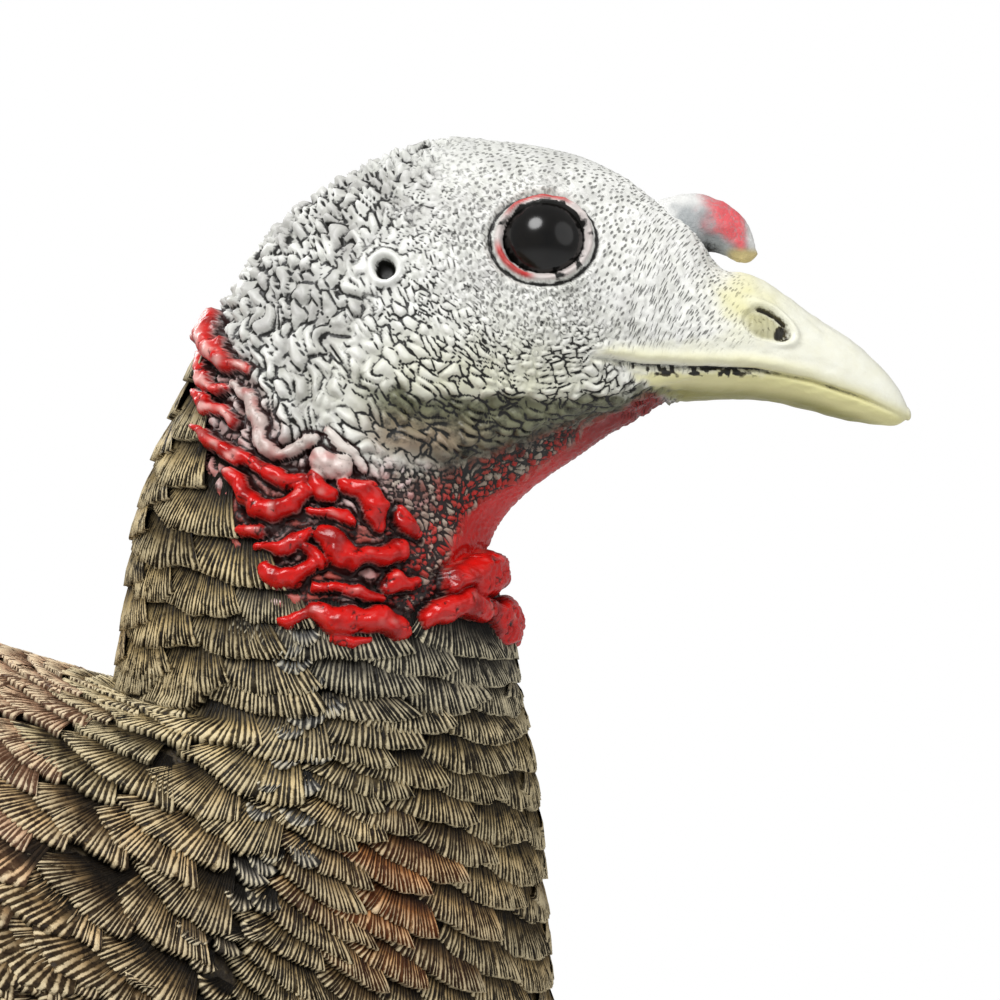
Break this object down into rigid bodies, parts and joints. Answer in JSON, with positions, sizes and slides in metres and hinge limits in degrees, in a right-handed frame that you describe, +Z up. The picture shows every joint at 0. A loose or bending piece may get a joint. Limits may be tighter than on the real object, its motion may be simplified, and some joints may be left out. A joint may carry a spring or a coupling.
{
  "type": "turkey decoy",
  "caption": "Life-size hen turkey decoy: hollow painted body and tail, removable turning head with glossy eyes, swivelling on a ground stake that pulls apart.",
  "frame": {"origin": "on the stake's axis at ground level, which is the underside of the foot step", "axes": "+Z up along the stake, +X forward towards the bill, +Y to the bird's left"},
  "size_m": [0.7534, 0.2164, 0.7162],
  "materials": {
    "body_foam": "moulded and hand painted, satin matte",
    "head_foam": "moulded and hand painted, semi gloss on the bare skin",
    "eye_glass": "high gloss black",
    "snood_rubber": "soft, painted, satin",
    "tail_foam": "moulded and hand painted, satin matte",
    "black_plastic": "moulded, fine grain",
    "white_nylon": "natural nylon, satin",
    "seal_rubber": "moulded ring",
    "stake_steel": "dark olive powder coat",
    "bright_steel": "plain turned steel"
  },
  "bodies": {
    "ground_stake": {"stake_lower": "stake_steel", "foot_step": "stake_steel", "stake_ferrule": "bright_steel", "ferrule_pin": "bright_steel"},
    "upper_stake": {"stake_upper": "stake_steel", "stop_collar": "black_plastic"},
    "thumbscrew": {"collar_thumbscrew": "black_plastic"},
    "washer": {"thrust_washer": "white_nylon"},
    "body": {"body_shell": "body_foam", "belly_bushing": "black_plastic", "bushing_nut": "black_plastic", "guide_tube": "white_nylon", "crown_cap": "black_plastic", "neck_collar": "black_plastic", "collar_screw_1": "bright_steel", "collar_screw_2": "bright_steel", "collar_screw_3": "bright_steel", "collar_screw_4": "bright_steel", "tail_fan": "tail_foam", "tail_screw_left": "bright_steel", "tail_screw_right": "bright_steel"},
    "neck_ring": {"plug_ring": "seal_rubber"},
    "head": {"head_neck_shell": "head_foam", "neck_plug": "black_plastic", "plug_screw_1": "bright_steel", "plug_screw_2": "bright_steel", "plug_screw_3": "bright_steel", "plug_screw_4": "bright_steel", "eye_left": "eye_glass", "eye_right": "eye_glass", "snood": "snood_rubber"}
  },
  "joints": [
    {"name": "stake_split", "type": "slide", "parent": "ground_stake", "child": "upper_stake", "axis": [0, 0, 1], "range_m": [0, 0.05]},
    {"name": "thumbscrew_turn", "type": "hinge", "parent": "upper_stake", "child": "thumbscrew", "pos_m": [0, 0, 0.2026], "axis": [-1, 0, 0], "range_deg": [0, 180]},
    {"name": "body_swivel", "type": "hinge", "parent": "upper_stake", "child": "washer", "pos_m": [0, 0, 0.2117], "axis": [0, 0, 1], "range_deg": [-40, 40]},
    {"name": "body_lift", "type": "slide", "parent": "washer", "child": "body", "axis": [0, 0, 1], "range_m": [0, 0.2]},
    {"name": "head_turn", "type": "hinge", "parent": "body", "child": "neck_ring", "pos_m": [0.1385, 0, 0.4188], "axis": [0.1053, 0, 0.9944], "range_deg": [-20, 20]},
    {"name": "head_release", "type": "slide", "parent": "neck_ring", "child": "head", "axis": [0.1053, 0, 0.9944], "range_m": [0, 0.06]}
  ]
}
